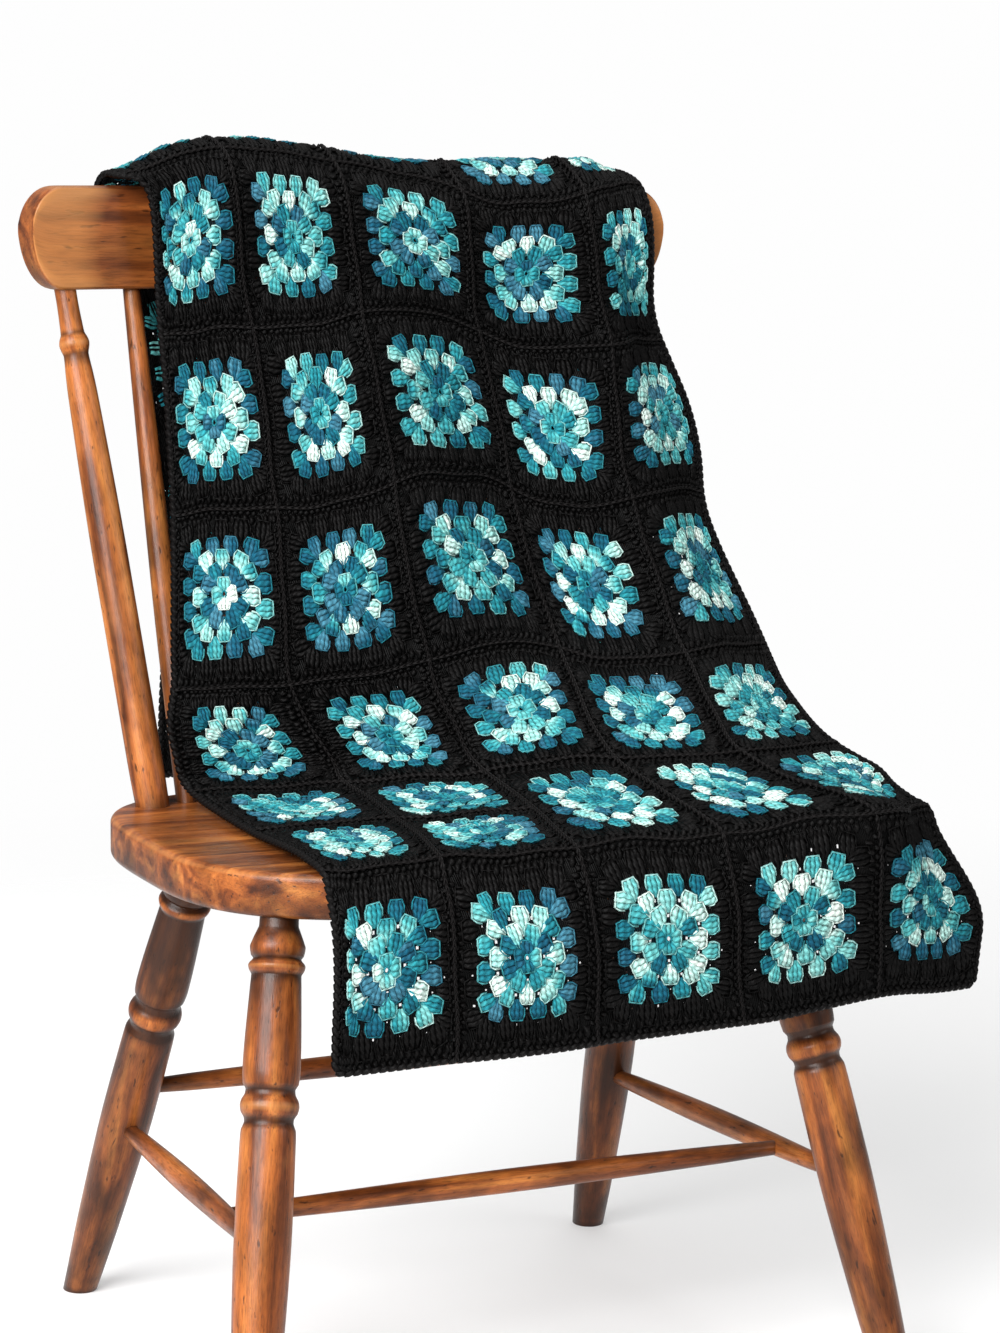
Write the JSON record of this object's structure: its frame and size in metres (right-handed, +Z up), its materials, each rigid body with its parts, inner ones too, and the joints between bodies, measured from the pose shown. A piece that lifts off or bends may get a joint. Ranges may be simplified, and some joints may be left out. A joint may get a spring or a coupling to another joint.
{
  "type": "granny square blanket draped over a wooden spindle-back chair",
  "caption": "Crocheted granny square blanket, teal rounds in black borders, draped over the back, seat and front edge of a turned wooden spindle-back chair.",
  "frame": {"origin": "on the floor under the middle of the bounding box of chair and blanket", "axes": "+Z up, the chair faces -Y, +X to the right as seen from the front"},
  "size_m": [0.6201, 0.546, 0.9363],
  "materials": {
    "yarn": "crocheted acrylic yarn, variegated teal rounds in black",
    "wood": "warm brown stain under satin varnish"
  },
  "bodies": {
    "root": {"blanket": "yarn", "seat": "wood", "crest_rail": "wood", "leg_back_left": "wood", "leg_back_right": "wood", "leg_front_left": "wood", "leg_front_right": "wood", "post_left": "wood", "post_right": "wood", "spindle_1": "wood", "spindle_2": "wood", "spindle_3": "wood", "spindle_4": "wood", "spindle_5": "wood", "spindle_6": "wood", "spindle_7": "wood", "stretcher_left": "wood", "stretcher_right": "wood", "stretcher_cross": "wood", "stretcher_back": "wood"}
  },
  "joints": []
}
